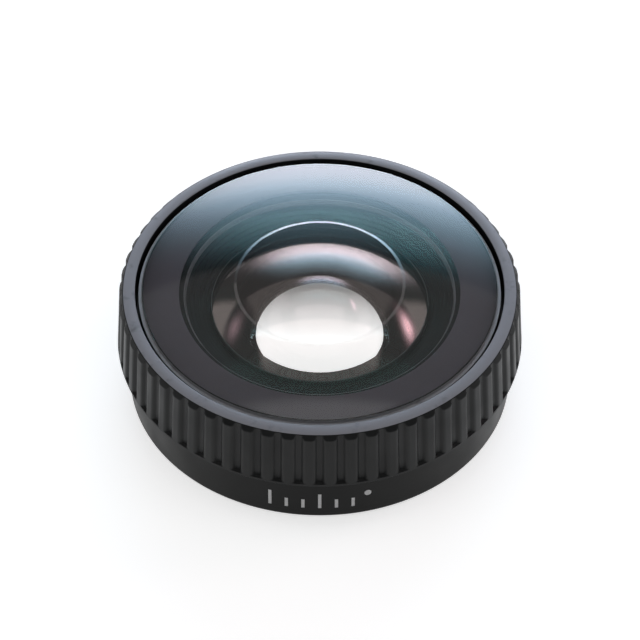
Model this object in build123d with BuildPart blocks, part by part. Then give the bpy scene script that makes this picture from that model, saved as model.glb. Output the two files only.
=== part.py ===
from build123d import *
import math
import os

# Wide-angle conversion lens for a small camera. The optical axis is Z, the rear mount
# face lies on Z = 0 and the front glass looks up. The ribbed ring turns about the axis
# and carries a bayonet ring behind it; everything else stays with the barrel.
# All lengths are in millimetres and all angles in degrees.

# Clearances
running_gap = 0.15  # axial play on each side of a turning ring
bearing_gap = 0.10  # radial play between the grip ring and the lens tube
ring_side_gap = 0.30  # radial room round the bayonet ring
seat_gap = 0.05  # round a piece that is fitted into a pocket

# Rear mount
socket_radius = 14.85  # register bore that takes the camera's mount boss
plate_thickness = 0.80
plate_ledge = 1.80  # how far the plate laps over the skirt's inner wall
index_notch_width = 3.0
index_notch_depth = 0.9
index_notch_count = 2
socket_relief = 0.20  # how much wider the bore is behind the register
bayonet_wall = 1.45
bayonet_height = 3.35
lug_count = 3
lug_arc = 36.0
lug_reach = 1.35  # how far a lug stands into the socket
lug_thickness = 1.05
lock_turn = 36.0  # twist from open to locked

# Barrel base: the plain skirt with the web inside it
skirt_wall = 2.45
skirt_foot_chamfer = 0.40
web_lift = 0.20  # room over the bayonet ring
web_thickness = 1.15
web_rib = 0.925  # metal left between a drive slot and the tube's thread
plate_screw_count = 4
plate_screw_radius = 0.50
plate_screw_head_radius = 0.90
plate_screw_inset = 0.70  # from the skirt's inner wall to a screw's axis
plate_screw_length = 2.60
plate_screw_first = 45.0

# Drive between the two rings
drive_pin_count = 3
drive_pin_radius = 0.50
drive_pin_bite = 1.90  # how deep a pin stands in the bayonet ring
drive_pin_first = 90.0
slot_side_gap = 0.15

# Click spring between the skirt and the bayonet ring
spring_angle = 15.0
spring_half_arc = 12.0
spring_thickness = 0.20
spring_height = 2.40
spring_bow = 0.75
click_notch_radius = 0.40

# Glide washer under the grip ring
washer_width = 1.50
washer_thickness = 0.40

# Grip ring
ring_flange_height = 1.25
ring_bearing_length = 3.35
ring_recess_depth = 2.55
ring_band_width = 1.10  # the plain band round the top face
shoulder_width = 0.52
shoulder_height = 0.70
ring_flare = 0.23  # how much wider the foot is than the shoulder
foot_rim_height = 0.35
foot_chamfer = 0.15
band_edge = 0.10
rib_count = 60
rib_height = 0.35
rib_round = 0.50
rib_land = 0.60

# Lens tube
visible_gap = 0.35  # the dark gap between the band and the front cell
lip_wall = 0.40
lip_rise = 0.07  # how far the cell's lip stands over the glass bevel
flange_overhang = 1.05  # the cell over the bearing surface
flange_floor = 0.35
dust_ring_width = 0.90
dust_ring_thickness = 0.40
dust_ring_room = 0.50
damping_ring_section = 0.60
tube_seal_section = 0.52
seal_squeeze = 0.03  # how far a seal stands out of its groove
seal_side_gap = 0.08
neck_gap = 0.30
baffle_seat = 0.30  # the baffle's bore outside the clear opening

# Front glass and what lies under it
glass_radius = 17.80
glass_edge = 1.10
glass_bevel = 0.25
glass_crown = 2.80  # from the bevel to the top of the dome
mask_width = 3.90  # the black ring under the glass
front_hollow = 2.40  # sag of the concave back
bond_thickness = 0.10
mask_thickness = 0.08

# Baffle between the front glass and the second element
baffle_top_gap = 0.10
baffle_lip = 0.75
baffle_lip_drop = 0.30
baffle_lip_slant = 0.10
baffle_room = 0.10  # between the collar's throat and the second element
baffle_edge = 0.20  # height of the collar's straight inner edge

# Second element, loaded from the front
second_step = 2.35  # from the black ring's inner edge to the element's edge
second_edge = 1.40  # flange that the retaining ring presses on
second_land = 0.60
second_drum = 1.65  # straight blacked wall between the flange and the dome
second_crown = 3.28
second_back_land = 4.10  # flat ring round the bowl in the element's back
second_bowl_depth = 4.00
second_retainer_height = 0.60
second_retainer_wall = 0.65
stop_thickness = 0.10
stop_radius = 7.80

# Rear pair, loaded from the back
rear_radius = 8.50
rear_retainer_height = 0.50
rear_retainer_opening = 7.10
rear_negative_edge = 1.10
rear_bond_sag = 0.70
rear_positive_edge = 0.40
rear_positive_crown = 1.30
tube_shelf = 0.60  # between the two lens pockets
spanner_notch_width = 1.0
spanner_notch_depth = 0.25

# Gasket against the camera
gasket_wall = 0.93  # metal between the gasket's groove and the tube seal's
gasket_width = 1.20
gasket_height = 0.73
gasket_stand = 0.25

# Heights, from the mount face up
plate_top = plate_thickness
bayonet_bottom = plate_top + running_gap
lug_top = bayonet_bottom + lug_thickness
bayonet_top = bayonet_bottom + bayonet_height
web_bottom = bayonet_top + web_lift
web_top = web_bottom + web_thickness
ring_bottom = web_top + running_gap
ring_flange_top = ring_bottom + ring_flange_height
tube_step = ring_flange_top + running_gap
ring_step = ring_flange_top + ring_bearing_length
ring_top = ring_step + ring_recess_depth
flange_bottom = ring_step + dust_ring_room
front_seat = flange_bottom + flange_floor
mask_bottom = front_seat + bond_thickness
glass_back = mask_bottom + mask_thickness
glass_rim = glass_back + glass_edge + glass_bevel
lip_top = glass_rim + lip_rise
glass_top = glass_rim + glass_crown

rear_pair_back = web_bottom + rear_retainer_height
rear_bond_edge = rear_pair_back + rear_negative_edge
rear_pair_front = rear_bond_edge + rear_positive_edge
second_seat = rear_pair_front + tube_shelf
second_back = second_seat + stop_thickness
second_front = second_back + second_edge
second_dome_rim = second_front + second_drum
second_retainer_top = second_front + second_retainer_height

# Radii, from the socket out
lug_radius = socket_radius - lug_reach
relief_radius = socket_radius + socket_relief
bayonet_radius = relief_radius + bayonet_wall
skirt_inner = bayonet_radius + ring_side_gap
skirt_radius = skirt_inner + skirt_wall
plate_radius = skirt_inner + plate_ledge
plate_screw_circle = skirt_inner + plate_screw_inset
drive_circle = relief_radius + bayonet_wall / 2
slot_width = 2 * (drive_pin_radius + slot_side_gap)
thread_radius = drive_circle - slot_width / 2 - web_rib
washer_inner = drive_circle + slot_width / 2 + 0.4
washer_outer = washer_inner + washer_width
neck_radius = socket_radius - neck_gap

cell_radius = glass_radius + seat_gap + lip_wall
tube_bearing = cell_radius - flange_overhang
ring_bore = tube_bearing + bearing_gap
ring_recess = cell_radius + visible_gap
rim_radius = ring_recess + ring_band_width
shoulder_radius = rim_radius + shoulder_width
foot_radius = shoulder_radius + ring_flare
shoulder_z = ring_top - shoulder_height
clear_radius = glass_radius - mask_width
baffle_bore = clear_radius + baffle_seat
second_radius = clear_radius - second_step
second_rim = second_radius - second_land
second_bowl_radius = second_radius - second_back_land
baffle_throat = second_rim + baffle_room


# Point half way out on the spherical surface through a rim and an apex on the axis.
def sphere_mid(rim_radius_, rim_z, apex_z):
    sag = apex_z - rim_z
    radius = (rim_radius_**2 + sag**2) / (2 * abs(sag))
    drop = radius - math.sqrt(radius**2 - (rim_radius_ / 2) ** 2)
    return (rim_radius_ / 2, apex_z - math.copysign(drop, sag))


def polar(radius, angle):
    return (radius * math.cos(math.radians(angle)), radius * math.sin(math.radians(angle)))


# Flat ring about the optical axis.
def ring_of(inner, outer, bottom, top):
    with BuildPart() as piece:
        with BuildSketch(Plane.XY.offset(bottom)):
            Circle(outer)
            Circle(inner, mode=Mode.SUBTRACT)
        extrude(amount=top - bottom)
    return piece.part


# Solid turned about the optical axis from an outline of (radius, height) points.
def turned(*outline):
    with BuildPart() as piece:
        with BuildSketch(Plane.XZ):
            with BuildLine():
                Polyline(*outline, close=True)
            make_face()
        revolve(axis=Axis.Z)
    return piece.part


# Barrel base
washer_floor = web_top + running_gap - seat_gap - washer_thickness
slot_reach = lock_turn + 2 * math.degrees(slot_side_gap / drive_circle)
slot_start = drive_pin_first - lock_turn - math.degrees(slot_side_gap / drive_circle)
spring_seat = bayonet_radius + 0.1 + spring_thickness + spring_bow

with BuildPart() as barrel_base:
    with BuildSketch(Plane.XZ):
        with BuildLine():
            Polyline(
                (plate_radius + seat_gap, 0),
                (skirt_radius - skirt_foot_chamfer, 0),
                (skirt_radius, skirt_foot_chamfer),
                (skirt_radius, web_top - foot_chamfer),
                (skirt_radius - foot_chamfer, web_top),
                (washer_outer + seat_gap, web_top),
                (washer_outer + seat_gap, washer_floor),
                (washer_inner - seat_gap, washer_floor),
                (washer_inner - seat_gap, web_top),
                (thread_radius, web_top),
                (thread_radius, web_bottom),
                (skirt_inner, web_bottom),
                (skirt_inner, plate_top),
                (plate_radius + seat_gap, plate_top),
                close=True,
            )
        make_face()
    revolve(axis=Axis.Z)
    # arc slots that let the drive pins pass and stop the twist at both ends
    slot_path = CenterArc((0, 0), drive_circle, slot_start, slot_reach, mode=Mode.PRIVATE)
    with BuildSketch(Plane.XY.offset(web_bottom)):
        with PolarLocations(0, drive_pin_count):
            SlotArc(slot_path, slot_width)
    extrude(amount=web_thickness, mode=Mode.SUBTRACT)
    # pocket for the click spring, open towards the plate
    with BuildSketch(Plane.XY.offset(plate_top)):
        with BuildLine():
            pocket_low = spring_angle - spring_half_arc - 1
            pocket_arc = 2 * (spring_half_arc + 1)
            pocket_wall = CenterArc((0, 0), spring_seat + 0.1, pocket_low, pocket_arc)
            pocket_mouth = CenterArc((0, 0), skirt_inner - 0.2, pocket_low, pocket_arc)
            Line(pocket_wall @ 0, pocket_mouth @ 0)
            Line(pocket_wall @ 1, pocket_mouth @ 1)
        make_face()
    extrude(amount=spring_height + 0.4, mode=Mode.SUBTRACT)
    # blind holes for the plate screws
    with BuildSketch(Plane.XY.offset(plate_top)):
        with PolarLocations(plate_screw_circle, plate_screw_count, start_angle=plate_screw_first):
            Circle(plate_screw_radius)
    extrude(amount=plate_screw_length - plate_thickness + 0.2, mode=Mode.SUBTRACT)
barrel_base.part.label = "barrel_base"

# Rear plate: register bore, index notches and countersunk screws
with BuildPart() as rear_plate:
    with BuildSketch():
        Circle(plate_radius)
        Circle(socket_radius, mode=Mode.SUBTRACT)
        with PolarLocations(socket_radius, index_notch_count, start_angle=90):
            Rectangle(2 * index_notch_depth, index_notch_width, mode=Mode.SUBTRACT)
    extrude(amount=plate_thickness)
    with Locations(Plane(origin=(0, 0, 0), x_dir=(1, 0, 0), z_dir=(0, 0, -1))):
        with PolarLocations(plate_screw_circle, plate_screw_count, start_angle=plate_screw_first):
            CounterSinkHole(plate_screw_radius, plate_screw_head_radius + 0.03, plate_thickness, 90)
rear_plate.part.label = "rear_plate"

screw_head_height = plate_screw_head_radius - plate_screw_radius
with BuildPart() as plate_screw:
    with BuildSketch(Plane.XZ):
        with BuildLine():
            Polyline(
                (0, 0),
                (plate_screw_head_radius, 0),
                (plate_screw_radius, screw_head_height),
                (plate_screw_radius, plate_screw_length - 0.1),
                (plate_screw_radius - 0.1, plate_screw_length),
                (0, plate_screw_length),
                close=True,
            )
        make_face()
    revolve(axis=Axis.Z)
    with BuildSketch():
        RegularPolygon(0.34, 6)
    extrude(amount=0.3, mode=Mode.SUBTRACT)

with BuildPart() as plate_screws:
    with PolarLocations(plate_screw_circle, plate_screw_count, start_angle=plate_screw_first):
        add(plate_screw.part)
plate_screws.part.label = "plate_screws"

# Bayonet ring, turned by the drive pins
lug_low = -lug_arc / 2
with BuildSketch() as lug_outline:
    with BuildLine():
        lug_tip = CenterArc((0, 0), lug_radius, lug_low, lug_arc)
        lug_root = CenterArc((0, 0), relief_radius + 0.2, lug_low, lug_arc)
        Line(lug_tip @ 0, lug_root @ 0)
        Line(lug_tip @ 1, lug_root @ 1)
    make_face()

with BuildPart() as bayonet_ring:
    with BuildSketch(Plane.XY.offset(bayonet_bottom)):
        Circle(bayonet_radius)
        Circle(relief_radius, mode=Mode.SUBTRACT)
        with Locations(polar(bayonet_radius + 0.15, spring_angle)):
            Circle(click_notch_radius, mode=Mode.SUBTRACT)
        with Locations(polar(bayonet_radius + 0.15, spring_angle + lock_turn)):
            Circle(click_notch_radius, mode=Mode.SUBTRACT)
    extrude(amount=bayonet_height)
    with BuildSketch(Plane.XY.offset(bayonet_bottom)):
        with PolarLocations(0, lug_count, start_angle=drive_pin_first):
            add(lug_outline.sketch)
    extrude(amount=lug_thickness)
    with BuildSketch(Plane.XY.offset(bayonet_top)):
        with PolarLocations(drive_circle, drive_pin_count, start_angle=drive_pin_first):
            Circle(drive_pin_radius)
    extrude(amount=-drive_pin_bite, mode=Mode.SUBTRACT)
bayonet_ring.part.label = "bayonet_ring"

# Drive pins, up through the web into the grip ring's flange
pin_bottom = bayonet_top - drive_pin_bite
pin_top = ring_flange_top - 0.35
with BuildPart() as drive_pins:
    with BuildSketch(Plane.XY.offset(pin_bottom)):
        with PolarLocations(drive_circle, drive_pin_count, start_angle=drive_pin_first):
            Circle(drive_pin_radius)
    extrude(amount=pin_top - pin_bottom)
drive_pins.part.label = "drive_pins"

# Click spring: a bowed leaf that rides on the bayonet ring's rim
spring_bottom = plate_top + 0.2
with BuildPart() as click_spring:
    with BuildSketch(Plane.XY.offset(spring_bottom)):
        with BuildLine():
            outer_start = polar(spring_seat, spring_angle - spring_half_arc)
            outer_end = polar(spring_seat, spring_angle + spring_half_arc)
            inner_start = polar(spring_seat - spring_thickness, spring_angle - spring_half_arc)
            inner_end = polar(spring_seat - spring_thickness, spring_angle + spring_half_arc)
            outer_top = polar(spring_seat - spring_bow, spring_angle)
            inner_top = polar(spring_seat - spring_bow - spring_thickness, spring_angle)
            ThreePointArc(outer_start, outer_top, outer_end)
            ThreePointArc(inner_start, inner_top, inner_end)
            Line(outer_start, inner_start)
            Line(outer_end, inner_end)
        make_face()
    extrude(amount=spring_height)
click_spring.part.label = "click_spring"

# Glide washer, let into the top of the web
glide_washer = ring_of(washer_inner, washer_outer, washer_floor, washer_floor + washer_thickness)
glide_washer.label = "glide_washer"

# Grip ring. Its crest is a slightly flared cone, and one cutter shapes each groove with
# the flanks of the two rounded ribs beside it.
half_pitch = 180 / rib_count
groove_bottom = ring_bottom + foot_rim_height
flare_rate = ring_flare / (shoulder_z - ring_bottom)
groove_crest = foot_radius - flare_rate * foot_rim_height
groove_floor = groove_crest - rib_height
land_swing = math.degrees(math.asin(rib_land / 2 / rib_round))
rib_axis = math.sqrt(groove_crest**2 - (rib_land / 2) ** 2) - math.sqrt(
    rib_round**2 - (rib_land / 2) ** 2
)
floor_swing = math.degrees(
    math.acos((groove_floor**2 - rib_axis**2 - rib_round**2) / (2 * rib_axis * rib_round))
)


# Point on the rounded rib beside the groove, at an angle from the rib's crest.
def rib_flank(swing):
    centre = polar(rib_axis, half_pitch)
    reach = polar(rib_round, half_pitch - swing)
    return (centre[0] + reach[0], centre[1] + reach[1])


with BuildPart() as groove_cutter:
    with BuildSketch(Plane.XY.offset(groove_bottom)):
        with BuildLine():
            crest = rib_flank(land_swing)
            middle = rib_flank((land_swing + floor_swing) / 2)
            floor = rib_flank(floor_swing)
            ThreePointArc(crest, middle, floor)
            Line(floor, (floor[0], -floor[1]))
            ThreePointArc((floor[0], -floor[1]), (middle[0], -middle[1]), (crest[0], -crest[1]))
            Polyline(
                (crest[0], -crest[1]),
                (crest[0] + 1, -crest[1]),
                (crest[0] + 1, crest[1]),
                crest,
            )
        make_face()
    groove_run = ring_top - groove_bottom + 0.5
    extrude(amount=groove_run * math.hypot(1, flare_rate), dir=(-flare_rate, 0, 1))

with BuildPart() as grip_ring:
    with BuildSketch(Plane.XZ):
        with BuildLine():
            Polyline(
                (relief_radius, ring_bottom),
                (foot_radius - foot_chamfer, ring_bottom),
                (foot_radius, ring_bottom + foot_chamfer),
                (shoulder_radius, shoulder_z),
                (rim_radius, ring_top),
                (ring_recess + band_edge, ring_top),
                (ring_recess, ring_top - band_edge),
                (ring_recess, ring_step),
                (ring_bore, ring_step),
                (ring_bore, ring_flange_top),
                (relief_radius, ring_flange_top),
                close=True,
            )
        make_face()
    revolve(axis=Axis.Z)
    with PolarLocations(0, rib_count):
        add(groove_cutter.part, mode=Mode.SUBTRACT)
    with BuildSketch(Plane.XY.offset(ring_bottom)):
        with PolarLocations(drive_circle, drive_pin_count, start_angle=drive_pin_first):
            Circle(drive_pin_radius)
    extrude(amount=pin_top + seat_gap - ring_bottom, mode=Mode.SUBTRACT)
grip_ring.part.label = "grip_ring"

# Lens tube: screws into the web, traps the grip ring and holds all the glass
pocket_radius = glass_radius + seat_gap
second_pocket = second_radius + seat_gap
retainer_thread = second_radius + second_retainer_wall
rear_pocket = rear_radius + seat_gap
damping_floor = tube_bearing - damping_ring_section
damping_height = (tube_step + flange_bottom) / 2
damping_half = damping_ring_section / 2 + seal_side_gap
seal_floor = thread_radius - seat_gap - tube_seal_section
seal_height = (web_bottom + web_top) / 2
seal_half = tube_seal_section / 2 + seal_side_gap
gasket_outer = seal_floor - gasket_wall
gasket_inner = gasket_outer - gasket_width
gasket_floor = web_bottom - gasket_stand + gasket_height
neck_thread = thread_radius - seat_gap

lens_tube = turned(
    (rear_pocket, web_bottom),
    (gasket_inner - seat_gap, web_bottom),
    (gasket_inner - seat_gap, gasket_floor),
    (gasket_outer + seat_gap, gasket_floor),
    (gasket_outer + seat_gap, web_bottom),
    (neck_thread, web_bottom),
    (neck_thread, seal_height - seal_half),
    (seal_floor, seal_height - seal_half),
    (seal_floor, seal_height + seal_half),
    (neck_thread, seal_height + seal_half),
    (neck_thread, web_top),
    (neck_radius, web_top),
    (neck_radius, tube_step),
    (tube_bearing, tube_step),
    (tube_bearing, damping_height - damping_half),
    (damping_floor, damping_height - damping_half),
    (damping_floor, damping_height + damping_half),
    (tube_bearing, damping_height + damping_half),
    (tube_bearing, flange_bottom),
    (cell_radius, flange_bottom),
    (cell_radius, lip_top - band_edge),
    (cell_radius - band_edge, lip_top),
    (pocket_radius + band_edge, lip_top),
    (pocket_radius, lip_top - band_edge),
    (pocket_radius, front_seat),
    (baffle_bore, front_seat),
    (baffle_bore, second_retainer_top),
    (retainer_thread, second_retainer_top),
    (retainer_thread, second_front),
    (second_pocket, second_front),
    (second_pocket, second_seat),
    (stop_radius, second_seat),
    (stop_radius, rear_pair_front),
    (rear_pocket, rear_pair_front),
)
lens_tube.label = "lens_tube"

damping_ring = ring_of(
    damping_floor,
    tube_bearing + seal_squeeze,
    damping_height - damping_ring_section / 2,
    damping_height + damping_ring_section / 2,
)
damping_ring.label = "damping_ring"

tube_seal = ring_of(
    seal_floor,
    neck_thread + seal_squeeze,
    seal_height - tube_seal_section / 2,
    seal_height + tube_seal_section / 2,
)
tube_seal.label = "tube_seal"

dust_ring = ring_of(
    cell_radius + 0.15 - dust_ring_width,
    cell_radius + 0.15,
    ring_step + seat_gap,
    ring_step + seat_gap + dust_ring_thickness,
)
dust_ring.label = "dust_ring"

camera_gasket = ring_of(gasket_inner, gasket_outer, web_bottom - gasket_stand, gasket_floor)
camera_gasket.label = "camera_gasket"

# Front glass: a wide meniscus with a flat, blacked ring round its hollow back
with BuildPart() as front_element:
    with BuildSketch(Plane.XZ):
        with BuildLine():
            hollow_top = glass_back + front_hollow
            dome_rim = glass_radius - glass_bevel
            ThreePointArc(
                (0, hollow_top),
                sphere_mid(clear_radius, glass_back, hollow_top),
                (clear_radius, glass_back),
            )
            Polyline(
                (clear_radius, glass_back),
                (glass_radius, glass_back),
                (glass_radius, glass_back + glass_edge),
                (dome_rim, glass_rim),
            )
            ThreePointArc((dome_rim, glass_rim), sphere_mid(dome_rim, glass_rim, glass_top), (0, glass_top))
            Line((0, glass_top), (0, hollow_top))
        make_face()
    revolve(axis=Axis.Z)
front_element.part.label = "front_element"

front_mask = ring_of(clear_radius, glass_radius - 0.1, mask_bottom, glass_back)
front_mask.label = "front_mask"

bonding_ring = ring_of(baffle_bore + 0.1, glass_radius - 0.1, front_seat, mask_bottom)
bonding_ring.label = "bonding_ring"

# Baffle: a black funnel that falls from its lip to the foot of the second element
baffle_top = front_seat - baffle_top_gap
baffle_outer = baffle_bore - seat_gap
baffle_brim = baffle_outer - baffle_lip
front_baffle = turned(
    (baffle_outer, second_retainer_top),
    (baffle_outer, baffle_top),
    (baffle_brim, baffle_top),
    (baffle_brim - baffle_lip_slant, baffle_top - baffle_lip_drop),
    (baffle_throat, second_retainer_top + baffle_edge),
    (baffle_throat, second_retainer_top),
)
front_baffle.label = "front_baffle"

# Second element: a dome on a drum and a flange, with a deep bowl behind it
with BuildPart() as second_element:
    with BuildSketch(Plane.XZ):
        with BuildLine():
            bowl_top = second_back + second_bowl_depth
            second_top = second_dome_rim + second_crown
            ThreePointArc(
                (0, bowl_top),
                sphere_mid(second_bowl_radius, second_back, bowl_top),
                (second_bowl_radius, second_back),
            )
            Polyline(
                (second_bowl_radius, second_back),
                (second_radius, second_back),
                (second_radius, second_front),
                (second_rim, second_front),
                (second_rim, second_dome_rim),
            )
            ThreePointArc(
                (second_rim, second_dome_rim),
                sphere_mid(second_rim, second_dome_rim, second_top),
                (0, second_top),
            )
            Line((0, second_top), (0, bowl_top))
        make_face()
    revolve(axis=Axis.Z)
second_element.part.label = "second_element"

aperture_stop = ring_of(second_bowl_radius, second_radius - 0.2, second_seat, second_back)
aperture_stop.label = "aperture_stop"


# Threaded retaining ring with two spanner notches in one face.
def spanner_ring(inner, outer, bottom, top, notch_face):
    with BuildPart() as piece:
        with BuildSketch(Plane.XY.offset(bottom)):
            Circle(outer)
            Circle(inner, mode=Mode.SUBTRACT)
        extrude(amount=top - bottom)
        into = spanner_notch_depth if notch_face == bottom else -spanner_notch_depth
        with BuildSketch(Plane.XY.offset(notch_face)):
            with PolarLocations((inner + outer) / 2, 2):
                Rectangle(2 * (outer - inner), spanner_notch_width)
        extrude(amount=into, mode=Mode.SUBTRACT)
    return piece.part


second_retainer = spanner_ring(
    second_rim + 0.05,
    retainer_thread - seat_gap,
    second_front,
    second_retainer_top,
    second_retainer_top,
)
second_retainer.label = "second_retainer"

rear_retainer = spanner_ring(
    rear_retainer_opening,
    rear_pocket - seat_gap,
    web_bottom,
    rear_pair_back,
    web_bottom,
)
rear_retainer.label = "rear_retainer"

# Rear pair: two elements that meet on one curved face
bond_apex = rear_bond_edge - rear_bond_sag
bond_middle = sphere_mid(rear_radius, rear_bond_edge, bond_apex)

with BuildPart() as rear_negative:
    with BuildSketch(Plane.XZ):
        with BuildLine():
            ThreePointArc((0, bond_apex), bond_middle, (rear_radius, rear_bond_edge))
            Polyline(
                (rear_radius, rear_bond_edge),
                (rear_radius, rear_pair_back),
                (0, rear_pair_back),
                (0, bond_apex),
            )
        make_face()
    revolve(axis=Axis.Z)
rear_negative.part.label = "rear_negative"

with BuildPart() as rear_positive:
    with BuildSketch(Plane.XZ):
        with BuildLine():
            rear_land = stop_radius - seat_gap
            rear_apex = rear_pair_front + rear_positive_crown
            ThreePointArc((0, bond_apex), bond_middle, (rear_radius, rear_bond_edge))
            Polyline(
                (rear_radius, rear_bond_edge),
                (rear_radius, rear_pair_front),
                (rear_land, rear_pair_front),
            )
            ThreePointArc(
                (rear_land, rear_pair_front),
                sphere_mid(rear_land, rear_pair_front, rear_apex),
                (0, rear_apex),
            )
            Line((0, rear_apex), (0, bond_apex))
        make_face()
    revolve(axis=Axis.Z)
rear_positive.part.label = "rear_positive"

# One file for each piece
pieces = [
    barrel_base.part,
    rear_plate.part,
    plate_screws.part,
    bayonet_ring.part,
    drive_pins.part,
    click_spring.part,
    glide_washer,
    grip_ring.part,
    lens_tube,
    damping_ring,
    tube_seal,
    dust_ring,
    camera_gasket,
    front_element.part,
    front_mask,
    bonding_ring,
    front_baffle,
    second_element.part,
    aperture_stop,
    second_retainer,
    rear_retainer,
    rear_negative.part,
    rear_positive.part,
]
os.makedirs("parts", exist_ok=True)
for piece in pieces:
    export_step(piece, f"parts/{piece.label}.step")
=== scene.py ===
import math

import bmesh
import bpy
from mathutils import Matrix, Vector


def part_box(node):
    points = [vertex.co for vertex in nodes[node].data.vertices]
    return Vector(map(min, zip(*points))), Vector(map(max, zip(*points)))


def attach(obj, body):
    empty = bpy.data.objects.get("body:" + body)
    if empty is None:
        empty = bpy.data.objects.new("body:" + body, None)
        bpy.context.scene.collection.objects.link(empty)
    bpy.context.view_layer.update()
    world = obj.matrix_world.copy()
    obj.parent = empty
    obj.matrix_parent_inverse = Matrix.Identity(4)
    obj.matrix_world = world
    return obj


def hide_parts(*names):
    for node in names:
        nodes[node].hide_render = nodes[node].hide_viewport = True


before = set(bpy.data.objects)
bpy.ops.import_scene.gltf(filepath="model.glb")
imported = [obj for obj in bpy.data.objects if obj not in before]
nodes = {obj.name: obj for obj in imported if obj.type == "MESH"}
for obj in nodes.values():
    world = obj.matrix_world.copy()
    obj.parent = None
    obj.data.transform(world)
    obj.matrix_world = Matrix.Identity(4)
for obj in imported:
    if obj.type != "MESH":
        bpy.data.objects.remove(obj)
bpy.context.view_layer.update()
mm = 0.001


# Places taken from the frame, in millimetres

def nodeSpan(name):
    low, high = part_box(name)
    return {"radius": high.x / mm, "bottom": low.z / mm, "top": high.z / mm}


ringSpan = nodeSpan("grip_ring")
baseSpan = nodeSpan("barrel_base")
tubeSpan = nodeSpan("lens_tube")
frontSpan = nodeSpan("front_element")
maskSpan = nodeSpan("front_mask")
secondSpan = nodeSpan("second_element")
rearPositiveSpan = nodeSpan("rear_positive")
rearNegativeSpan = nodeSpan("rear_negative")
baffleSpan = nodeSpan("front_baffle")


# Node material helpers

def newMaterial(name, color, roughness, metallic=0.0, specular=0.5):
    material = bpy.data.materials.new(name)
    material.use_nodes = True
    tree = material.node_tree
    shader = tree.nodes["Principled BSDF"]
    shader.inputs["Base Color"].default_value = (*color, 1)
    shader.inputs["Roughness"].default_value = roughness
    shader.inputs["Metallic"].default_value = metallic
    shader.inputs["Specular IOR Level"].default_value = specular
    return material, tree, shader


def addNode(tree, kind, **values):
    node = tree.nodes.new(kind)
    for key, value in values.items():
        if key in node.inputs.keys():
            node.inputs[key].default_value = value
        else:
            setattr(node, key, value)
    return node


# One step of arithmetic on sockets or plain numbers
def addMath(tree, operation, first, second=None):
    step = tree.nodes.new("ShaderNodeMath")
    step.operation = operation
    for i, value in enumerate((first, second)):
        if value is None:
            continue
        if isinstance(value, (int, float)):
            step.inputs[i].default_value = value
        else:
            tree.links.new(value, step.inputs[i])
    return step.outputs["Value"]


# Rises smoothly from 0 to 1 between two values
def addRise(tree, value, start, end):
    rise = addNode(tree, "ShaderNodeMapRange", interpolation_type="SMOOTHSTEP")
    rise.inputs["From Min"].default_value = start
    rise.inputs["From Max"].default_value = end
    tree.links.new(value, rise.inputs["Value"])
    return rise.outputs["Result"]


# A colour made brighter or darker by a socket
def addScaled(tree, color, scale):
    scaled = addNode(tree, "ShaderNodeVectorMath", operation="SCALE")
    if isinstance(color, tuple):
        scaled.inputs[0].default_value = color
    else:
        tree.links.new(color, scaled.inputs[0])
    tree.links.new(scale, scaled.inputs["Scale"])
    return scaled.outputs["Vector"]


# x, y and z of a point, or of a direction in the world
def addAxes(tree, source="Object"):
    place = addNode(tree, "ShaderNodeTexCoord")
    split = addNode(tree, "ShaderNodeSeparateXYZ")
    tree.links.new(place.outputs[source], split.inputs["Vector"])
    return [split.outputs[axis] for axis in "XYZ"]


# How far a point lies from the optical axis
def addRadius(tree, x, y):
    square = addMath(tree, "ADD", addMath(tree, "MULTIPLY", x, x), addMath(tree, "MULTIPLY", y, y))
    return addMath(tree, "SQRT", square)


# Noise on the piece's own coordinates, with spots of a size in millimetres
def addNoise(tree, size, detail, roughness=0.5):
    place = addNode(tree, "ShaderNodeTexCoord")
    noise = addNode(tree, "ShaderNodeTexNoise", Scale=1 / (size * mm), Detail=detail,
                    Roughness=roughness)
    tree.links.new(place.outputs["Object"], noise.inputs["Vector"])
    return noise.outputs["Fac"]


grainLook = {
    "detail": 3.0,
    "grainRoughness": 0.6,  # of the noise, not of the surface
    "cloudSize": 4.0,
    "cloudDetail": 2.0,
    "noiseRange": (0.3, 0.7),  # where most of the noise lies
    "glossChange": 0.06,
}


# Spreads the usual range of a noise over the range from low to high
def addSpread(tree, noise, low, high):
    spread = addNode(tree, "ShaderNodeMapRange")
    ends = (*grainLook["noiseRange"], low, high)
    for name, value in zip(("From Min", "From Max", "To Min", "To Max"), ends):
        spread.inputs[name].default_value = value
    tree.links.new(noise, spread.inputs["Value"])
    return spread.outputs["Result"]


# Fine blasted grain: bump, and a little change of colour and gloss
def addGrain(tree, shader, color, roughness, grainSize, depth, colorChange):
    grain = addNoise(tree, grainSize, grainLook["detail"], grainLook["grainRoughness"])
    cloud = addNoise(tree, grainLook["cloudSize"], grainLook["cloudDetail"])
    bump = addNode(tree, "ShaderNodeBump", Strength=1.0, Distance=depth * mm)
    tree.links.new(grain, bump.inputs["Height"])
    tree.links.new(bump.outputs["Normal"], shader.inputs["Normal"])
    tint = addSpread(tree, grain, 1 - colorChange, 1 + colorChange)
    tree.links.new(addScaled(tree, color, tint), shader.inputs["Base Color"])
    change = grainLook["glossChange"]
    gloss = addSpread(tree, cloud, roughness - change, roughness + change)
    tree.links.new(gloss, shader.inputs["Roughness"])


paintedLightLook = {"fade": 0.02, "blotchSize": 1.5, "blotchDetail": 3.0, "blotchFull": 0.45}
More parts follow.
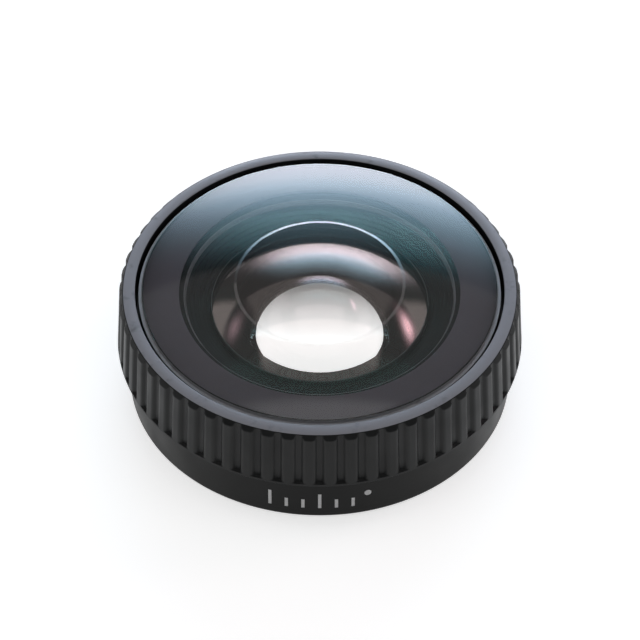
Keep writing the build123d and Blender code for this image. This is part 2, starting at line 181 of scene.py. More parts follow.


# Painted highlight: another colour on the zone between two radii, from a height up, a little patchy
def addPaintedLight(tree, shader, inner, outer, low, color, metallic=0.0):
    fade = paintedLightLook["fade"]
    x, y, z = addAxes(tree)
    radius = addRadius(tree, x, y)
    paintedLight = addMath(tree, "MULTIPLY", addRise(tree, radius, (inner - fade) * mm, inner * mm),
                   addRise(tree, radius, (outer + fade) * mm, outer * mm))
    paintedLight = addMath(tree, "MULTIPLY", paintedLight, addRise(tree, z, (low - fade) * mm, low * mm))
    blotches = addNoise(tree, paintedLightLook["blotchSize"], paintedLightLook["blotchDetail"])
    patchy = addMath(tree, "MULTIPLY", paintedLight, addRise(tree, blotches, 0.0, paintedLightLook["blotchFull"]))
    mix = addNode(tree, "ShaderNodeMix", data_type="RGBA")
    tree.links.new(patchy, mix.inputs["Factor"])
    # inputs 6 and 7 are the node's two colours, and output 2 is the mixed one
    under = shader.inputs["Base Color"].links[0].from_socket
    tree.links.new(under, mix.inputs[6])
    mix.inputs[7].default_value = (*color, 1)
    tree.links.new(mix.outputs[2], shader.inputs["Base Color"])
    if metallic:
        tree.links.new(addMath(tree, "MULTIPLY", paintedLight, metallic), shader.inputs["Metallic"])


def grainMaterial(name, color, roughness, grainSize, depth, metallic=0.0, specular=0.5,
                  colorChange=0.12, paintedLight=None):
    material, tree, shader = newMaterial(name, color, roughness, metallic, specular)
    addGrain(tree, shader, color, roughness, grainSize, depth, colorChange)
    if paintedLight:
        addPaintedLight(tree, shader, **paintedLight)
    return material


glassSmear = {"size": 3.0, "detail": 4.0, "range": (0.45, 0.75), "onGlass": 0.004, "onCoat": 0.03}


# Roughness of a faint patchy smear
def addSmear(tree, amount):
    cloud = addNoise(tree, glassSmear["size"], glassSmear["detail"])
    return addMath(tree, "MULTIPLY", addRise(tree, cloud, *glassSmear["range"]), amount)


# Clear refracting glass
def glassMaterial(name, ior):
    material, tree, shader = newMaterial(name, (1, 1, 1), 0.0)
    shader.inputs["Transmission Weight"].default_value = 1.0
    shader.inputs["IOR"].default_value = ior
    tree.links.new(addSmear(tree, glassSmear["onGlass"]), shader.inputs["Roughness"])
    return material


# A face inside the lens: clear glass under a coating that mirrors a small share in its own colour
def coatMaterial(name, ior, mirrorColor, mirrorShare):
    material = bpy.data.materials.new(name)
    material.use_nodes = True
    tree = material.node_tree
    tree.nodes.remove(tree.nodes["Principled BSDF"])
    clear = addNode(tree, "ShaderNodeBsdfRefraction", IOR=ior, Roughness=0.0)
    mirror = addNode(tree, "ShaderNodeBsdfGlossy", Color=(*mirrorColor, 1))
    tree.links.new(addSmear(tree, glassSmear["onCoat"]), mirror.inputs["Roughness"])
    mix = addNode(tree, "ShaderNodeMixShader", Fac=mirrorShare)
    tree.links.new(clear.outputs["BSDF"], mix.inputs[1])
    tree.links.new(mirror.outputs["BSDF"], mix.inputs[2])
    tree.links.new(mix.outputs["Shader"], tree.nodes["Material Output"].inputs["Surface"])
    return material


# Turned pieces

turned = {
    "sharpAngle": 18,  # degrees past which an edge isn't smoothed
    "mergeReach": 0.0001,
    "fineSteps": 240,  # round the skirt, the mask and the baffle
    "faceSlack": 0.015,  # mm by which the middle of a face has to pass a limit
}


# From the rim to the apex on the axis, along the sphere through both
def arcPoints(rimRadius, rimHeight, apexHeight, count):
    rise = apexHeight - rimHeight
    radius = (rimRadius ** 2 + rise ** 2) / (2 * abs(rise))
    widest = math.asin(rimRadius / radius)
    side = math.copysign(1, rise)
    points = []
    for i in range(count + 1):
        angle = widest * (1 - i / count)
        sag = side * radius * (1 - math.cos(angle))
        points.append((radius * math.sin(angle), apexHeight - sag))
    return points


# A small rounded edge between a flat top and the bore in it
def roundedEdge(boreRadius, top, size, middle=0.3):
    return [
        (boreRadius + size, top),
        (boreRadius + size * middle, top - size * middle),
        (boreRadius, top - size),
    ]


def turnOutline(name, outline, steps, closed):
    mesh = bmesh.new()
    ring = [mesh.verts.new((r * mm, 0, z * mm)) for r, z in outline]
    edges = [mesh.edges.new(pair) for pair in zip(ring, ring[1:])]
    if closed:
        edges.append(mesh.edges.new((ring[-1], ring[0])))
    bmesh.ops.spin(mesh, geom=ring + edges, cent=(0, 0, 0), axis=(0, 0, 1), angle=math.tau,
                   steps=steps, use_merge=True)
    bmesh.ops.remove_doubles(mesh, verts=mesh.verts, dist=turned["mergeReach"] * mm)
    bmesh.ops.recalc_face_normals(mesh, faces=mesh.faces)
    return finishMesh(name, mesh, turned["sharpAngle"])


def finishMesh(name, mesh, sharpAngle=30):
    for face in mesh.faces:
        face.smooth = True
    for edge in mesh.edges:
        if len(edge.link_faces) == 2 and edge.calc_face_angle(0) > math.radians(sharpAngle):
            edge.smooth = False
    data = bpy.data.meshes.new(name)
    mesh.to_mesh(data)
    mesh.free()
    piece = bpy.data.objects.new(name, data)
    bpy.context.scene.collection.objects.link(piece)
    return piece


# Gives faces the piece's second material and those after it, one test of radius, height and
# facing for each, where the last test that holds counts
def paintFaces(piece, *tests):
    for face in piece.data.polygons:
        x, y, z = (value / mm for value in face.center)
        for index, test in enumerate(tests, 1):
            if test(math.hypot(x, y), z, face.normal.z):
                face.material_index = index


def place(piece, body, node, slot, *materials):
    for material in materials:
        piece.data.materials.append(material)
    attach(piece, body)
    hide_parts(node)


# Grip ring

gripRing = {
    "ribs": 60,
    "ribLand": 0.60,
    "ribRound": 0.50,
    "ribHeight": 0.35,
    "ribStart": 0.12,  # height over which a groove gets its full depth
    "ribEnd": 0.06,  # what a groove stays below the band's outer edge
    "shoulderWidth": 0.52,
    "shoulderHeight": 0.70,
    "flare": 0.23,
    "footRim": 0.35,
    "footChamfer": 0.15,
    "footRound": (0.04, 0.05),
    "bandWidth": 1.10,
    "bandEdge": 0.10,
    "bandFall": 0.21,  # from its inner to its outer edge
    "bandRound": (0.03, 0.04),
    "recessDepth": 2.55,
    "boreRadius": 17.30,
    "flangeRadius": 15.05,
    "flangeHeight": 1.25,
    "edgeRound": 0.05,
    "columns": 20,  # mesh columns in one rib's pitch
    "footRows": (-0.10, -0.04, 0.0, 0.04, 0.08, 0.16),  # mesh rows round a groove's foot
    "wallStart": 0.30,  # above a groove's foot, where the wall's even rows start
    "wallRows": 8,
    "shoulderStart": 0.20,  # below the shoulder, where its finer rows start
    "shoulderRows": 30,
    "sharpAngle": 35,
    "mergeReach": 0.001,
    "finish": {
        "color": (0.0060, 0.0066, 0.0066),
        "roughness": 0.45,
        "specular": 0.20,
        "grainSize": 0.09,
        "depth": 0.004,
        # the band's flat top is painted light grey, a painted highlight for the overhead light it
        # catches
        "paintedLight": {"inner": 18.62, "outer": 19.79, "low": 12.72, "color": (0.250, 0.253, 0.280)},
    },
}


# The smaller of two lengths, rounded over where they meet
def softMin(a, b, width):
    overlap = max(width - abs(a - b), 0) / width
    return min(a, b) - overlap ** 2 * width / 4


# How far the surface lies under the crest at an angle round the ring
def ribDepth(angle):
    pitch = math.tau / gripRing["ribs"]
    across = ((angle / pitch) % 1 - 0.5) * pitch * ringSpan["radius"]
    past = max(abs(across) - gripRing["ribLand"] / 2, 0)
    bend = gripRing["ribRound"]
    if past >= bend:
        return gripRing["ribHeight"]
    return min(bend - math.sqrt(bend ** 2 - past ** 2), gripRing["ribHeight"])


def rowsBetween(low, high, count):
    return [low + (high - low) * i / count for i in range(count + 1)]


def makeGripRing():
    size = gripRing
    foot = ringSpan["radius"]
    bottom, top = ringSpan["bottom"], ringSpan["top"]
    shoulder = foot - size["flare"]
    rim = shoulder - size["shoulderWidth"]
    shoulderZ = top - size["shoulderHeight"]
    shoulderSlope = size["shoulderWidth"] / size["shoulderHeight"]
    recess = rim - size["bandWidth"]
    chamferTop = bottom + size["footChamfer"]
    footIn, footDown = size["footRound"]
    outer = [
        (foot - size["footChamfer"], bottom),
        (foot - footIn, chamferTop - footDown),
        (foot, chamferTop),
    ]
    grooveZ = bottom + size["footRim"]
    bandZ = top - size["bandFall"]
    bandIn, bandDown = size["bandRound"]
    wallTop = shoulderZ - size["shoulderStart"]
    heights = [grooveZ + row for row in size["footRows"]]
    heights += rowsBetween(grooveZ + size["wallStart"], wallTop, size["wallRows"])
    heights += rowsBetween(wallTop, bandZ - bandDown, size["shoulderRows"])[1:]
    flareRate = size["flare"] / (shoulderZ - chamferTop)
    for z in heights:
        cone = foot - flareRate * (z - chamferTop)
        steep = rim + (top - z) * shoulderSlope
        outer.append((softMin(cone, steep, size["edgeRound"]), z))
    inner = [(rim + size["bandFall"] * shoulderSlope - bandIn, bandZ)]
    inner += roundedEdge(recess, top, size["bandEdge"])
    inner += [
        (recess, top - size["recessDepth"]),
        (size["boreRadius"], top - size["recessDepth"]),
        (size["boreRadius"], bottom + size["flangeHeight"]),
        (size["flangeRadius"], bottom + size["flangeHeight"]),
        (size["flangeRadius"], bottom),
    ]
    mesh = bmesh.new()
    ring = [mesh.verts.new((r * mm, 0, z * mm)) for r, z in outer + inner]
    edges = [mesh.edges.new(pair) for pair in zip(ring, ring[1:] + ring[:1])]
    pitch = math.tau / size["ribs"]
    bmesh.ops.spin(mesh, geom=ring + edges, cent=(0, 0, 0), axis=(0, 0, 1), angle=pitch,
                   steps=size["columns"])
    # press the groove into the outer side of one rib's sector
    slack = size["mergeReach"]
    for vert in mesh.verts:
        radius = math.hypot(vert.co.x, vert.co.y) / mm
        z = vert.co.z / mm
        if z < grooveZ - slack or z > bandZ - size["ribEnd"] or radius < rim - slack:
            continue
        angle = math.atan2(vert.co.y, vert.co.x)
        cone = foot - flareRate * (z - chamferTop)
        depth = ribDepth(angle) * min(1, (z - grooveZ) / size["ribStart"])
        pressed = softMin(radius, cone - depth, size["edgeRound"]) if depth > slack else radius
        vert.co.x *= pressed / radius
        vert.co.y *= pressed / radius
    sector = mesh.verts[:] + mesh.edges[:] + mesh.faces[:]
    bmesh.ops.spin(mesh, geom=sector, cent=(0, 0, 0), axis=(0, 0, 1), angle=math.tau - pitch,
                   steps=size["ribs"] - 1, use_duplicate=True)
    bmesh.ops.remove_doubles(mesh, verts=mesh.verts, dist=size["mergeReach"] * mm)
    bmesh.ops.recalc_face_normals(mesh, faces=mesh.faces)
    return finishMesh("grip_ring_ribbed", mesh, size["sharpAngle"])


ringMaterial = grainMaterial("ringFinish", **gripRing["finish"])
place(makeGripRing(), "grip", "grip_ring", "ring_finish", ringMaterial)
print("grip ring made")


# Skirt

skirt = {
    "footChamfer": 0.40,
    "footCurve": ((1.05, 0.0), (0.5, 0.33), (0.15, 0.7), (0.0, 1.1)),  # in and up, in chamfers
    "wallRows": (0.3, 0.6),
    "topChamfer": 0.15,
    "plateRadius": 18.60,
    "plateGap": 0.05,
    "plateThickness": 0.80,
    "innerRadius": 16.80,
    "webThickness": 1.15,
    "boreRadius": 14.20,
    "finish": {
        "color": (0.0045, 0.0048, 0.0048),
        "roughness": 0.38,
        "specular": 0.12,
        "grainSize": 0.09,
        "depth": 0.003,
    },
}


def makeSkirt():
    size = skirt
    radius, top = baseSpan["radius"], baseSpan["top"]
    seat = size["plateRadius"] + size["plateGap"]
    web = top - size["webThickness"]
    chamfer = size["footChamfer"]
    outline = [(seat, 0.0)]
    outline += [(radius - chamfer * inward, chamfer * up) for inward, up in size["footCurve"]]
    outline += [(radius, top * share) for share in size["wallRows"]]
    outline += [
        (radius, top - size["topChamfer"]),
        (radius - size["topChamfer"], top),
        (size["boreRadius"], top),
        (size["boreRadius"], web),
        (size["innerRadius"], web),
        (size["innerRadius"], size["plateThickness"]),
        (seat, size["plateThickness"]),
    ]
    return turnOutline("barrel_skirt", outline, turned["fineSteps"], closed=True)


skirtMaterial = grainMaterial("skirtFinish", **skirt["finish"])
place(makeSkirt(), "barrel", "barrel_base", "skirt_finish", skirtMaterial)
print("skirt made")


# Glass, with each coat as the colour that it mirrors and the share

frontGlass = {
    "rimReach": 0.15,  # the thin rim that lies over the cell's lip
    "bevel": 0.02,
    "bevelHeight": 0.005,
    "corner": 0.02,
    "edge": 1.43,
    "clearRadius": 13.90,
    "hollow": 2.40,
    "crown": 2.70,
    "ridgeRadius": 8.40,
    "ridgeHalf": 0.15,
    "steps": 192,
    "rings": 48,
    "ior": 1.52,
    "hollowCoat": ((0.45, 1.0, 0.92), 0.011),
    "middleCoat": ((0.6, 1.0, 0.9), 0.001),
    "ridgeCoat": ((1.0, 0.98, 0.98), 0.14),
}


def makeFrontElement():
    size = frontGlass
    radius, back, top = frontSpan["radius"], frontSpan["bottom"], frontSpan["top"]
    rim = radius + size["rimReach"]
    rimZ = top - size["crown"]
    corner = size["corner"]
    outline = arcPoints(size["clearRadius"], back, back + size["hollow"], size["rings"])[::-1]
    outline += [(radius - corner, back), (radius, back + corner), (radius, back + size["edge"])]
    outline += [(rim, back + size["edge"]), (rim, rimZ - size["bevelHeight"])]
    outline += arcPoints(rim - size["bevel"], rimZ, top, size["rings"])
    piece = turnOutline("front_element_ground", outline, size["steps"], closed=False)
    slack = turned["faceSlack"]
    low, high = size["ridgeRadius"] - size["ridgeHalf"], size["ridgeRadius"] + size["ridgeHalf"]
    paintFaces(
        piece,
        lambda r, z, up: r > radius - slack and z < rimZ,
        lambda r, z, up: up < 0 and z > back + slack,
        lambda r, z, up: up < 0 and z > back + slack and r < high,
        lambda r, z, up: up < 0 and z > back + slack and low < r < high,
    )
    return piece


secondGlass = {
    "land": 0.60,
    "edge": 1.40,
    "drum": 1.65,
    "crown": 3.28,
    "bowlRadius": 7.45,
    "bowlDepth": 4.00,
    "rimChamfer": (0.10, 0.07),  # inwards and down
    "steps": 192,
    "rings": 48,
    "ior": 1.60,
    "domeCoat": ((1.0, 0.84, 0.80), 0.145),
    "bowlCoat": ((1.0, 0.86, 0.88), 0.095),
}


def makeSecondElement():
    size = secondGlass
    radius, back, top = secondSpan["radius"], secondSpan["bottom"], secondSpan["top"]
    flange = back + size["edge"]
    front = flange + size["drum"]
    rim = radius - size["land"]
    chamferIn, chamferDown = size["rimChamfer"]
    outline = arcPoints(size["bowlRadius"], back, back + size["bowlDepth"], size["rings"])[::-1]
    outline += [(radius, back), (radius, flange), (rim, flange), (rim, front - chamferDown)]
    outline += arcPoints(rim - chamferIn, front, front + size["crown"], size["rings"])
    piece = turnOutline("second_element_ground", outline, size["steps"], closed=False)
    slack = turned["faceSlack"]
    paintFaces(
        piece,
        lambda r, z, up: r > rim - slack,
        lambda r, z, up: up < 0 and z > back + slack,
        lambda r, z, up: rim - chamferIn < r < rim - slack and z < front,
    )
    return piece


rearPair = {
    "bondSag": 0.70,
    "bondGap": 0.01,
    "edge": 0.40,
    "land": 7.75,
    "crown": 1.30,
    "steps": 160,
    "rings": 32,
    "ior": 1.60,
    "coat": ((0.85, 1.0, 0.88), 0.02),
}


def makeRearPositive():
    size = rearPair
    radius, top = rearPositiveSpan["radius"], rearPositiveSpan["top"]
    front = top - size["crown"]
    bondEdge = front - size["edge"]
    outline = arcPoints(radius, bondEdge, bondEdge - size["bondSag"], size["rings"])[::-1]
    outline += [(radius, front)]
    outline += arcPoints(size["land"], front, top, size["rings"])
    return turnOutline("rear_positive_ground", outline, size["steps"], closed=False)


def makeRearNegative():
    size = rearPair
    radius, back = rearNegativeSpan["radius"], rearNegativeSpan["bottom"]
    bondEdge = rearPositiveSpan["top"] - size["crown"] - size["edge"] - size["bondGap"]
    outline = [(0, back), (radius, back)]
    outline += arcPoints(radius, bondEdge, bondEdge - size["bondSag"], size["rings"])
    return turnOutline("rear_negative_ground", outline, size["steps"], closed=False)


clearFront = glassMaterial("frontCoatedGlass", frontGlass["ior"])
hollowCoat = coatMaterial("frontHollowCoat", frontGlass["ior"], *frontGlass["hollowCoat"])
hollowMiddle = coatMaterial("frontHollowMiddle", frontGlass["ior"], *frontGlass["middleCoat"])
hollowRidge = coatMaterial("frontHollowRidge", frontGlass["ior"], *frontGlass["ridgeCoat"])
domeCoat = coatMaterial("innerDomeCoat", secondGlass["ior"], *secondGlass["domeCoat"])
bowlCoat = coatMaterial("innerBowlCoat", secondGlass["ior"], *secondGlass["bowlCoat"])
rearCoat = coatMaterial("rearPairCoat", rearPair["ior"], *rearPair["coat"])
edgeInk = grainMaterial("edgeInk", (0.012, 0.016, 0.013), 0.5, 0.1, 0.0005, specular=0.3)
groundEdge = grainMaterial("groundEdge", (0.05, 0.06, 0.06), 0.6, 0.05, 0.001)
place(makeFrontElement(), "barrel", "front_element", "front_glass",
      clearFront, edgeInk, hollowCoat, hollowMiddle, hollowRidge)
place(makeSecondElement(), "barrel", "second_element", "inner_glass",
      domeCoat, edgeInk, bowlCoat, groundEdge)
place(makeRearPositive(), "barrel", "rear_positive", "inner_glass", rearCoat)
place(makeRearNegative(), "barrel", "rear_negative", "inner_glass", rearCoat)
print("glass made")


# Front cell, its lip turned to a slant round the glass

cell = {
    "lipInner": 17.86,
    "lipTop": 0.1,  # points this near the top are on the lip's edge
    "slantDrop": 0.40,
    "mergeReach": 0.001,
    "finish": {
        "color": (0.018, 0.018, 0.019),
        "roughness": 0.38,
        "grainSize": 0.1,
        "depth": 0.002,
        # the lip's slant and outer wall are painted light grey, a painted highlight for the thin
        # bright ring round the glass
        "paintedLight": {
            "inner": 17.80,
            "outer": 18.30,
            "low": 12.10,
            "color": (0.30, 0.30, 0.32),
            "metallic": 0.2,
        },
    },
}


def makeCell():
    size = cell
    top = tubeSpan["top"]
    mesh = bmesh.new()
    mesh.from_mesh(nodes["lens_tube"].data)
    bmesh.ops.remove_doubles(mesh, verts=mesh.verts, dist=size["mergeReach"] * mm)
    for vert in mesh.verts:
        radius = math.hypot(vert.co.x, vert.co.y) / mm
        if radius > size["lipInner"] and vert.co.z / mm > top - size["lipTop"]:
            vert.co.z = (top - size["slantDrop"]) * mm
    return finishMesh("lens_tube_cell", mesh)


tubeMaterial = grainMaterial("tubeFinish", **cell["finish"])
place(makeCell(), "barrel", "lens_tube", "tube_finish", tubeMaterial)
print("cell made")


# Mask under the glass

mask = {
    "inner": 13.90,
    "outer": 17.70,
    "innerSlant": 0.01,
    "bite": 0.02,  # how far it reaches into the glass
    "finish": {
        "color": (0.140, 0.128, 0.146),
        "roughness": 0.6,
        "specular": 0.1,
        "grainSize": 0.08,
        "depth": 0.0,
        "colorChange": 0.04,
    },
}


def makeMask():
    size = mask
    bottom, top = maskSpan["bottom"], maskSpan["top"] + size["bite"]
    outline = [
        (size["inner"], bottom),
        (size["outer"], bottom),
        (size["outer"], top),
        (size["inner"] + size["innerSlant"], top),
    ]
    return turnOutline("front_mask_ink", outline, turned["fineSteps"], closed=True)


maskMaterial = grainMaterial("maskInk", **mask["finish"])
place(makeMask(), "barrel", "front_mask", "mask_black", maskMaterial)
print("mask made")


# Funnel under the front glass, turned with fine steps that catch stray light

baffle = {
    "outer": 14.15,
    "brim": 13.40,
    "lipDrop": 0.30,
    "lipSlant": 0.10,
    "lipRound": 0.05,
    "throat": 11.05,
    "edge": 0.20,
    "steps": 6,
    "treadFall": 0.35,  # share of a step's height that its tread falls by
    "treadRound": 0.03,
    "finish": {
        "color": (0.004, 0.005, 0.005),
        "roughness": 0.6,
        "specular": 0.12,
        "grainSize": 0.15,
        "depth": 0.001,
        # the brim's rounded edge is painted lighter, a painted highlight
        "paintedLight": {"inner": 13.30, "outer": 13.48, "low": 10.80, "color": (0.16, 0.16, 0.17)},
    },
}


def makeBaffle():
    size = baffle
    bottom, top = baffleSpan["bottom"], baffleSpan["top"]
    outline = [(size["outer"], bottom), (size["outer"], top)]
    outline += roundedEdge(size["brim"], top, size["lipRound"])
    head = Vector((size["brim"] - size["lipSlant"], top - size["lipDrop"]))
    foot = Vector((size["throat"], bottom + size["edge"]))
    bend = size["treadRound"]
    for i in range(size["steps"]):
        start = head.lerp(foot, i / size["steps"])
        end = head.lerp(foot, (i + 1) / size["steps"])
        tread = start.y + (end.y - start.y) * size["treadFall"]
        outline += [tuple(start), (end.x + bend, tread), (end.x, tread - bend)]
    outline += [tuple(foot), (size["throat"], bottom)]
    return turnOutline("front_baffle_stepped", outline, turned["fineSteps"], closed=True)


baffleMaterial = grainMaterial("baffleBlack", **baffle["finish"])
place(makeBaffle(), "barrel", "front_baffle", "baffle_black", baffleMaterial)
print("baffle made")


# Finishes of the pieces that keep their shape: colour, roughness, grain size and depth

plateMaterial = grainMaterial("plateFinish", (0.03, 0.031, 0.032), 0.35, 0.09, 0.003)
bayonetMaterial = grainMaterial("bayonetMetal", (0.60, 0.60, 0.61), 0.3, 0.15, 0.001, metallic=1.0)
steelMaterial = grainMaterial("screwSteel", (0.55, 0.55, 0.55), 0.3, 0.1, 0.001, metallic=1.0)
slipMaterial = grainMaterial("slipPlastic", (0.05, 0.05, 0.05), 0.45, 0.2, 0.001)
rubberMaterial = grainMaterial("sealRubber", (0.02, 0.02, 0.02), 0.7, 0.15, 0.004)

nodeMaterials = {
    "rear_plate": plateMaterial,
    "plate_screws": steelMaterial,
    "bayonet_ring": bayonetMaterial,
    "drive_pins": steelMaterial,
    "click_spring": steelMaterial,
    "glide_washer": slipMaterial,
    "damping_ring": rubberMaterial,
    "tube_seal": rubberMaterial,
    "dust_ring": slipMaterial,
    "camera_gasket": rubberMaterial,
    "bonding_ring": rubberMaterial,
    "aperture_stop": baffleMaterial,
    "second_retainer": baffleMaterial,
    "rear_retainer": baffleMaterial,
}
for name, material in nodeMaterials.items():
    data = nodes[name].data
    if not data.materials:
        data.materials.append(material)
    for i in range(len(data.materials)):
        data.materials[i] = material
print("cad nodes finished")


# Printed index marks on the lower front of the skirt

marks = {
    "angles": (-15, -10, -5, 0, 5, 10),
    "longEvery": 3,
    "tall": 2.0,
    "short": 1.2,
    "foot": 1.45,
    "width": 0.33,
    "thickness": 0.04,
    "proud": 0.012,
    "dotAngle": 14.5,
    "dotRadius": 0.36,
    "dotSides": 28,
    "finish": {"color": (0.80, 0.80, 0.80), "roughness": 0.55, "grainSize": 0.12, "depth": 0.001},
}


def makeMarks():
    size = marks
    middle = baseSpan["radius"] + size["proud"] - size["thickness"] / 2
    mesh = bmesh.new()

    def setRound(verts, height, angle):
        # out to the skirt's wall and up, then round the axis
        turn = Matrix.Rotation(math.radians(angle), 3, "Z")
        bmesh.ops.translate(mesh, vec=(0, -middle * mm, height * mm), verts=verts)
        bmesh.ops.rotate(mesh, cent=(0, 0, 0), matrix=turn, verts=verts)

    for i, angle in enumerate(size["angles"]):
        height = size["short"] if i % size["longEvery"] else size["tall"]
        bar = bmesh.ops.create_cube(mesh, size=mm)["verts"]
        bmesh.ops.scale(mesh, vec=(size["width"], size["thickness"], height), verts=bar)
        setRound(bar, size["foot"] + height / 2, angle)
    radius = size["dotRadius"]
    dot = bmesh.ops.create_cone(mesh, cap_ends=True, segments=size["dotSides"], radius1=radius * mm,
                                radius2=radius * mm, depth=size["thickness"] * mm)["verts"]
    upright = Matrix.Rotation(math.radians(90), 3, "X")
    bmesh.ops.rotate(mesh, cent=(0, 0, 0), matrix=upright, verts=dot)
    setRound(dot, size["foot"] + size["tall"] - radius, size["dotAngle"])
    bmesh.ops.recalc_face_normals(mesh, faces=mesh.faces)
    piece = finishMesh("index_marks", mesh)
    piece.data.materials.append(grainMaterial("markInk", **size["finish"]))
    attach(piece, "barrel")


makeMarks()
print("marks made")


# Floor, light and camera. Turns are in degrees from straight behind, heights from the horizon

studio = {
    "floorSize": 3.0,  # metres
    "floorCells": 4,
    "floorColor": (0.74, 0.74, 0.74),
    "floorRoughness": 0.9,
    "floorLift": 0.64,  # what the lit paper adds for the camera
    "floorMirrored": 0.85,  # and for what mirrors it
    "floorThroughGlass": 1.14,
    "floorNear": (18.0, 26.0),  # mm from the axis over which the paper seen through glass fades
    "floorFar": 0.3,  # the share that is left beyond
    "floorShade": (1.0, 10.5),  # mm behind the axis, from where the painted shade of the lens starts to where it is full
    "floorShadeDepth": 0.85,
    "glow": 7.5,
    "glowTurn": 5.0,  # to the right
    "glowHalfWidth": 24.0,
    "glowPower": 4.0,
    "glowSpan": 90,  # degrees along the whole ramp of its colours
    "sideGlow": 0.85,
    "sideTop": 26.0,
    "sideTopFade": 5.0,
    "sideFrom": 48.0,  # on both sides
    "sideTo": 112.0,
    "sideFade": 4.0,
    "room": 0.08,  # faint light from everywhere
    "overheadHalf": 0.55,  # sideways reach of the light overhead
    "overheadFade": 0.08,
    "overheadSpan": 180,
}

# colour of the low light behind the object, from the horizon up
glowColors = (
    (0, (0.80, 0.80, 0.88)),
    (11, (0.88, 0.91, 1.05)),
    (16, (0.80, 0.91, 1.06)),
    (19, (0.63, 0.81, 0.98)),
    (22, (0.42, 0.60, 0.76)),
    (27, (0.21, 0.35, 0.44)),
    (32, (0.10, 0.165, 0.21)),
    (37, (0.04, 0.065, 0.08)),
    (41, (0.0, 0.0, 0.0)),
)

# the light overhead, by how far a direction is turned up from straight behind and on to the front
overheadLevels = (
    (41, 0.0),
    (42.5, 0.28),
    (75.5, 0.28),
    (78, 1.1),
    (86, 1.2),
    (93, 1.1),
    (104, 0.5),
    (112, 0.28),
    (160, 0.25),
)

# small lamps at the sides: turn and height of the middle, half width and half height
sideLamps = (
    {"middle": (66.0, 33.5), "half": (9.0, 3.5), "color": (7.0, 4.9, 5.6)},
    {"middle": (-67.0, 35.5), "half": (9.0, 4.0), "color": (1.1, 0.85, 1.0)},
)


def makeFloor():
    cells = studio["floorCells"]
    mesh = bmesh.new()
    bmesh.ops.create_grid(mesh, x_segments=cells, y_segments=cells, size=studio["floorSize"] / 2)
    floor = finishMesh("floor", mesh)
    material, tree, shader = newMaterial("floorPaper", studio["floorColor"],
                                         studio["floorRoughness"], specular=0.0)
    rays = addNode(tree, "ShaderNodeLightPath").outputs
    seen = addMath(tree, "MULTIPLY", rays["Is Camera Ray"], studio["floorLift"])
    glossy = addMath(tree, "SUBTRACT", rays["Is Glossy Ray"], rays["Is Transmission Ray"])
    mirrored = addMath(tree, "MULTIPLY", glossy, studio["floorMirrored"])
    lift = addMath(tree, "MAXIMUM", seen, mirrored)
    x, y, _ = addAxes(tree)
    # painted shade: the paper seen through glass is darker behind the axis
    start, end = studio["floorShade"]
    behind = addRise(tree, y, start * mm, end * mm)
    paintedShade = addMath(tree, "MULTIPLY", behind, studio["floorShadeDepth"])
    bare = addMath(tree, "SUBTRACT", 1.0, paintedShade)
    lit = addMath(tree, "MULTIPLY", bare, studio["floorThroughGlass"])
    near, far = studio["floorNear"]
    around = addRise(tree, addRadius(tree, x, y), far * mm, near * mm)
    lit = addMath(tree, "MULTIPLY", lit, addMath(tree, "MAXIMUM", around, studio["floorFar"]))
    through = addMath(tree, "MULTIPLY", rays["Is Transmission Ray"], lit)
    white = addNode(tree, "ShaderNodeEmission", Color=(1, 1, 1, 1))
    tree.links.new(addMath(tree, "ADD", lift, through), white.inputs["Strength"])
    total = addNode(tree, "ShaderNodeAddShader")
    tree.links.new(shader.outputs["BSDF"], total.inputs[0])
    tree.links.new(white.outputs["Emission"], total.inputs[1])
    tree.links.new(total.outputs["Shader"], tree.nodes["Material Output"].inputs["Surface"])
    floor.data.materials.append(material)


def addRamp(tree, degrees, span, stops):
    ramp = addNode(tree, "ShaderNodeValToRGB")
    points = ramp.color_ramp.elements
    for i, (angle, color) in enumerate(stops):
        # the ramp starts with two points
        point = points[i] if i < 2 else points.new(angle / span)
        point.position = angle / span
        point.color = (*color, 1) if isinstance(color, tuple) else (color, color, color, 1)
    tree.links.new(addMath(tree, "DIVIDE", degrees, span), ramp.inputs["Fac"])
    return ramp.outputs["Color"]


# How far a value is from a middle, in half widths
def addOffset(tree, value, middle, half):
    return addMath(tree, "DIVIDE", addMath(tree, "SUBTRACT", value, middle), half)


# 1 in the middle of a light, falling off to 0 round it
def addFade(tree, away):
    return addMath(tree, "EXPONENT", addMath(tree, "MULTIPLY", away, -1.0))


def addPatch(tree, turn, height, middle, half):
    aside = addOffset(tree, turn, middle[0], half[0])
    above = addOffset(tree, height, middle[1], half[1])
    away = addMath(tree, "ADD", addMath(tree, "MULTIPLY", aside, aside),
                   addMath(tree, "MULTIPLY", above, above))
    return addFade(tree, away)


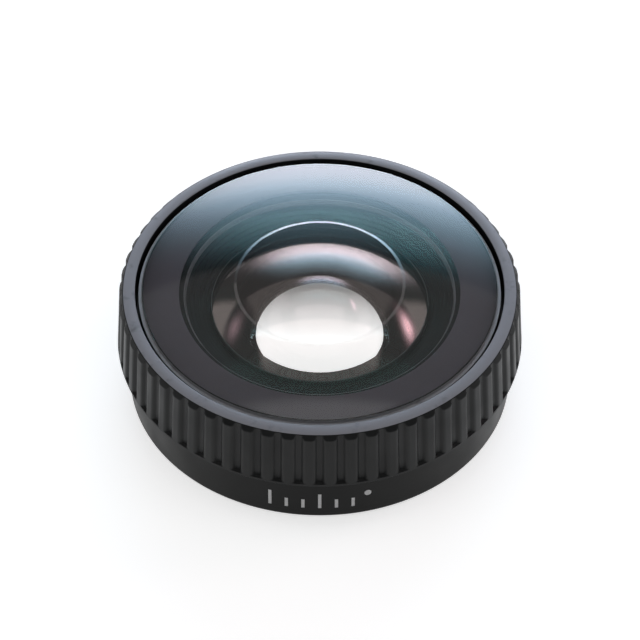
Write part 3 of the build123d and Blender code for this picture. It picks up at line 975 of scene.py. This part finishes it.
def makeWorld():
    world = bpy.data.worlds.new("studioWorld")
    bpy.context.scene.world = world
    world.use_nodes = True
    tree = world.node_tree
    background = tree.nodes["Background"]
    x, y, z = addAxes(tree, "Generated")
    height = addMath(tree, "DEGREES", addMath(tree, "ARCSINE", z))
    turn = addMath(tree, "DEGREES", addMath(tree, "ARCTAN2", x, y))
    tilt = addMath(tree, "DEGREES", addMath(tree, "ARCTAN2", z, y))

    aside = addOffset(tree, turn, studio["glowTurn"], studio["glowHalfWidth"])
    away = addMath(tree, "POWER", addMath(tree, "ABSOLUTE", aside), studio["glowPower"])
    strength = addMath(tree, "MULTIPLY", addFade(tree, away), studio["glow"])
    glow = addScaled(tree, addRamp(tree, height, studio["glowSpan"], glowColors), strength)

    reach = studio["overheadHalf"]
    within = addRise(tree, addMath(tree, "ABSOLUTE", x), reach + studio["overheadFade"], reach)
    levels = addRamp(tree, tilt, studio["overheadSpan"], overheadLevels)
    above = addScaled(tree, levels, within)

    sideTurn = addMath(tree, "ABSOLUTE", turn)
    start, end, top, fade = (studio[key] for key in ("sideFrom", "sideTo", "sideTop", "sideFade"))
    box = addMath(tree, "MULTIPLY", addRise(tree, sideTurn, start - fade, start + fade),
                  addRise(tree, sideTurn, end + fade, end - fade))
    low = addRise(tree, height, top + studio["sideTopFade"], top)
    box = addMath(tree, "MULTIPLY", box, low)
    side = addMath(tree, "ADD", addMath(tree, "MULTIPLY", box, studio["sideGlow"]), studio["room"])

    parts = [above, side]
    for lamp in sideLamps:
        patch = addPatch(tree, turn, height, lamp["middle"], lamp["half"])
        parts.append(addScaled(tree, lamp["color"], patch))
    every = glow
    for part in parts:
        total = addNode(tree, "ShaderNodeVectorMath", operation="ADD")
        tree.links.new(every, total.inputs[0])
        tree.links.new(part, total.inputs[1])
        every = total.outputs["Vector"]
    tree.links.new(every, background.inputs["Color"])
    background.inputs["Strength"].default_value = 1.0
    # the camera itself sees plain white
    rays = addNode(tree, "ShaderNodeLightPath")
    white = addNode(tree, "ShaderNodeBackground", Color=(1, 1, 1, 1), Strength=1.0)
    mix = addNode(tree, "ShaderNodeMixShader")
    tree.links.new(rays.outputs["Is Camera Ray"], mix.inputs["Fac"])
    tree.links.new(background.outputs["Background"], mix.inputs[1])
    tree.links.new(white.outputs["Background"], mix.inputs[2])
    tree.links.new(mix.outputs["Shader"], tree.nodes["World Output"].inputs["Surface"])


makeFloor()
makeWorld()

camera = {
    "elevation": 46.3,
    "distance": 40.0,  # in rib radii
    "pixelsPerRadius": 202.0,
    "centreX": 319.7,  # where the middle of the barrel's axis shows
    "centreY": 334.0,
    "imageSize": 640,
    "sensor": 36.0,
    "clip": (0.1, 10),  # in distances
}


def makeCamera():
    view = camera
    radius = ringSpan["radius"] * mm
    tilt = math.radians(view["elevation"])
    back = Vector((0, -math.cos(tilt), math.sin(tilt)))
    up = Vector((0, math.sin(tilt), math.cos(tilt)))
    right = Vector((1, 0, 0))
    target = Vector((0, 0, ringSpan["top"] / 2 * mm))
    perPixel = radius / view["pixelsPerRadius"]
    middle = view["imageSize"] / 2
    aim = target + up * (view["centreY"] - middle) * perPixel
    aim += right * (middle - view["centreX"]) * perPixel
    distance = view["distance"] * radius
    data = bpy.data.cameras.new("photoCamera")
    data.sensor_width = view["sensor"]
    data.lens = view["sensor"] * view["pixelsPerRadius"] * view["distance"] / view["imageSize"]
    data.clip_start, data.clip_end = (distance * share for share in view["clip"])
    eye = bpy.data.objects.new("photoCamera", data)
    eye.location = aim + back * distance
    eye.rotation_euler = (-back).to_track_quat("-Z", "Y").to_euler()
    bpy.context.scene.collection.objects.link(eye)
    bpy.context.scene.camera = eye


makeCamera()
bpy.context.scene.view_settings.view_transform = "Standard"
print("stage set")
